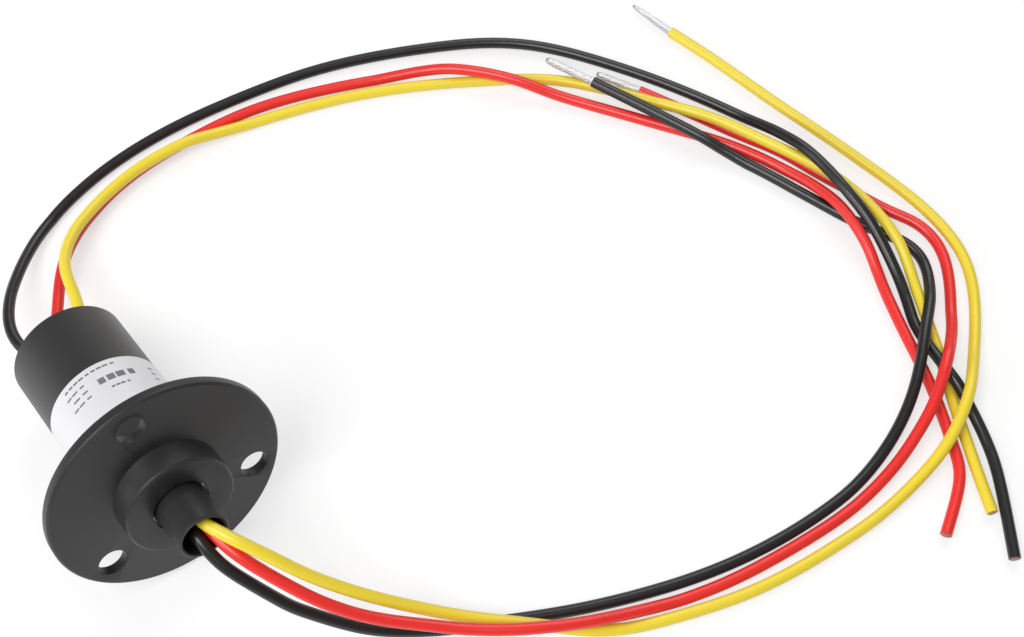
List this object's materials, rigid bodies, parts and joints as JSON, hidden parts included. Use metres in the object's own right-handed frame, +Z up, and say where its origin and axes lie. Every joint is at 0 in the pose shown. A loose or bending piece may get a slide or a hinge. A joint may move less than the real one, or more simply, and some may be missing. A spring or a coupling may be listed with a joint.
{
  "type": "capsule slip ring",
  "caption": "Flanged capsule slip ring: a sleeve with a drilled flange and boss, a rotating hollow tube, and insulated leads looping from both ends.",
  "frame": {"origin": "centre of the bottom of the rigid part's bounding box, on the surface it lies on, leads left out", "axes": "Z up from the surface; the slip ring's axis lies in the YZ plane, its rotor tube pointing to -Y and 16.18 degrees upwards; X is across the flange"},
  "size_m": [0.1804, 0.1756, 0.0431],
  "materials": {
    "case": "satin black moulded plastic",
    "label": "bare matt silver foil",
    "resin": "black potting resin",
    "insulator": "natural engineering plastic",
    "board": "glass-epoxy board",
    "bearing_steel": "ground steel",
    "cage_brass": "pressed brass",
    "contact_gold": "gold-plated brass",
    "insulation_black": "satin wire insulation",
    "insulation_red": "satin wire insulation",
    "insulation_yellow": "satin wire insulation",
    "tinned_copper": "solder-tinned strands"
  },
  "bodies": {
    "stator": {"housing": "case", "label": "label", "rear_cap": "insulator", "rear_potting": "resin", "brush_block_left": "board", "brush_block_right": "board", "brush_1_left": "contact_gold", "brush_1_right": "contact_gold", "brush_2_left": "contact_gold", "brush_2_right": "contact_gold", "brush_3_left": "contact_gold", "brush_3_right": "contact_gold", "front_bearing_outer": "bearing_steel", "rear_bearing_outer": "bearing_steel", "stator_lead_black": "insulation_black", "stator_lead_yellow": "insulation_yellow", "stator_lead_red": "insulation_red", "rotor_lead_black": "insulation_black", "rotor_lead_yellow": "insulation_yellow", "rotor_lead_red": "insulation_red", "tip_black": "tinned_copper", "tip_yellow": "tinned_copper", "tip_red": "tinned_copper"},
    "rotor": {"rotor_shaft": "case", "tube_potting": "resin", "contact_ring_1": "contact_gold", "contact_ring_2": "contact_gold", "contact_ring_3": "contact_gold", "barrier_1": "insulator", "barrier_2": "insulator", "barrier_3": "insulator", "barrier_4": "insulator", "lock_ring": "bearing_steel", "front_bearing_inner": "bearing_steel", "rear_bearing_inner": "bearing_steel", "rotor_wire_1": "insulator", "rotor_wire_2": "insulator", "rotor_wire_3": "insulator"},
    "front_cage": {"front_bearing_cage": "cage_brass", "front_bearing_balls": "bearing_steel"},
    "rear_cage": {"rear_bearing_cage": "cage_brass", "rear_bearing_balls": "bearing_steel"}
  },
  "joints": [
    {"name": "rotor_spin", "type": "hinge", "parent": "stator", "child": "rotor", "pos_m": [0, -0.01206, 0.02132], "axis": [0, -0.9604, 0.2787], "continuous": true},
    {"name": "front_cage_orbit", "type": "hinge", "parent": "stator", "child": "front_cage", "pos_m": [0, -0.01657, 0.02263], "axis": [0, -0.9604, 0.2787], "continuous": true},
    {"name": "rear_cage_orbit", "type": "hinge", "parent": "stator", "child": "rear_cage", "pos_m": [0, 0.01243, 0.01421], "axis": [0, -0.9604, 0.2787], "continuous": true}
  ],
  "couplings": [
    {"joint": "front_cage_orbit", "follows": "rotor_spin", "ratio": 0.452},
    {"joint": "rear_cage_orbit", "follows": "rotor_spin", "ratio": 0.4375}
  ]
}
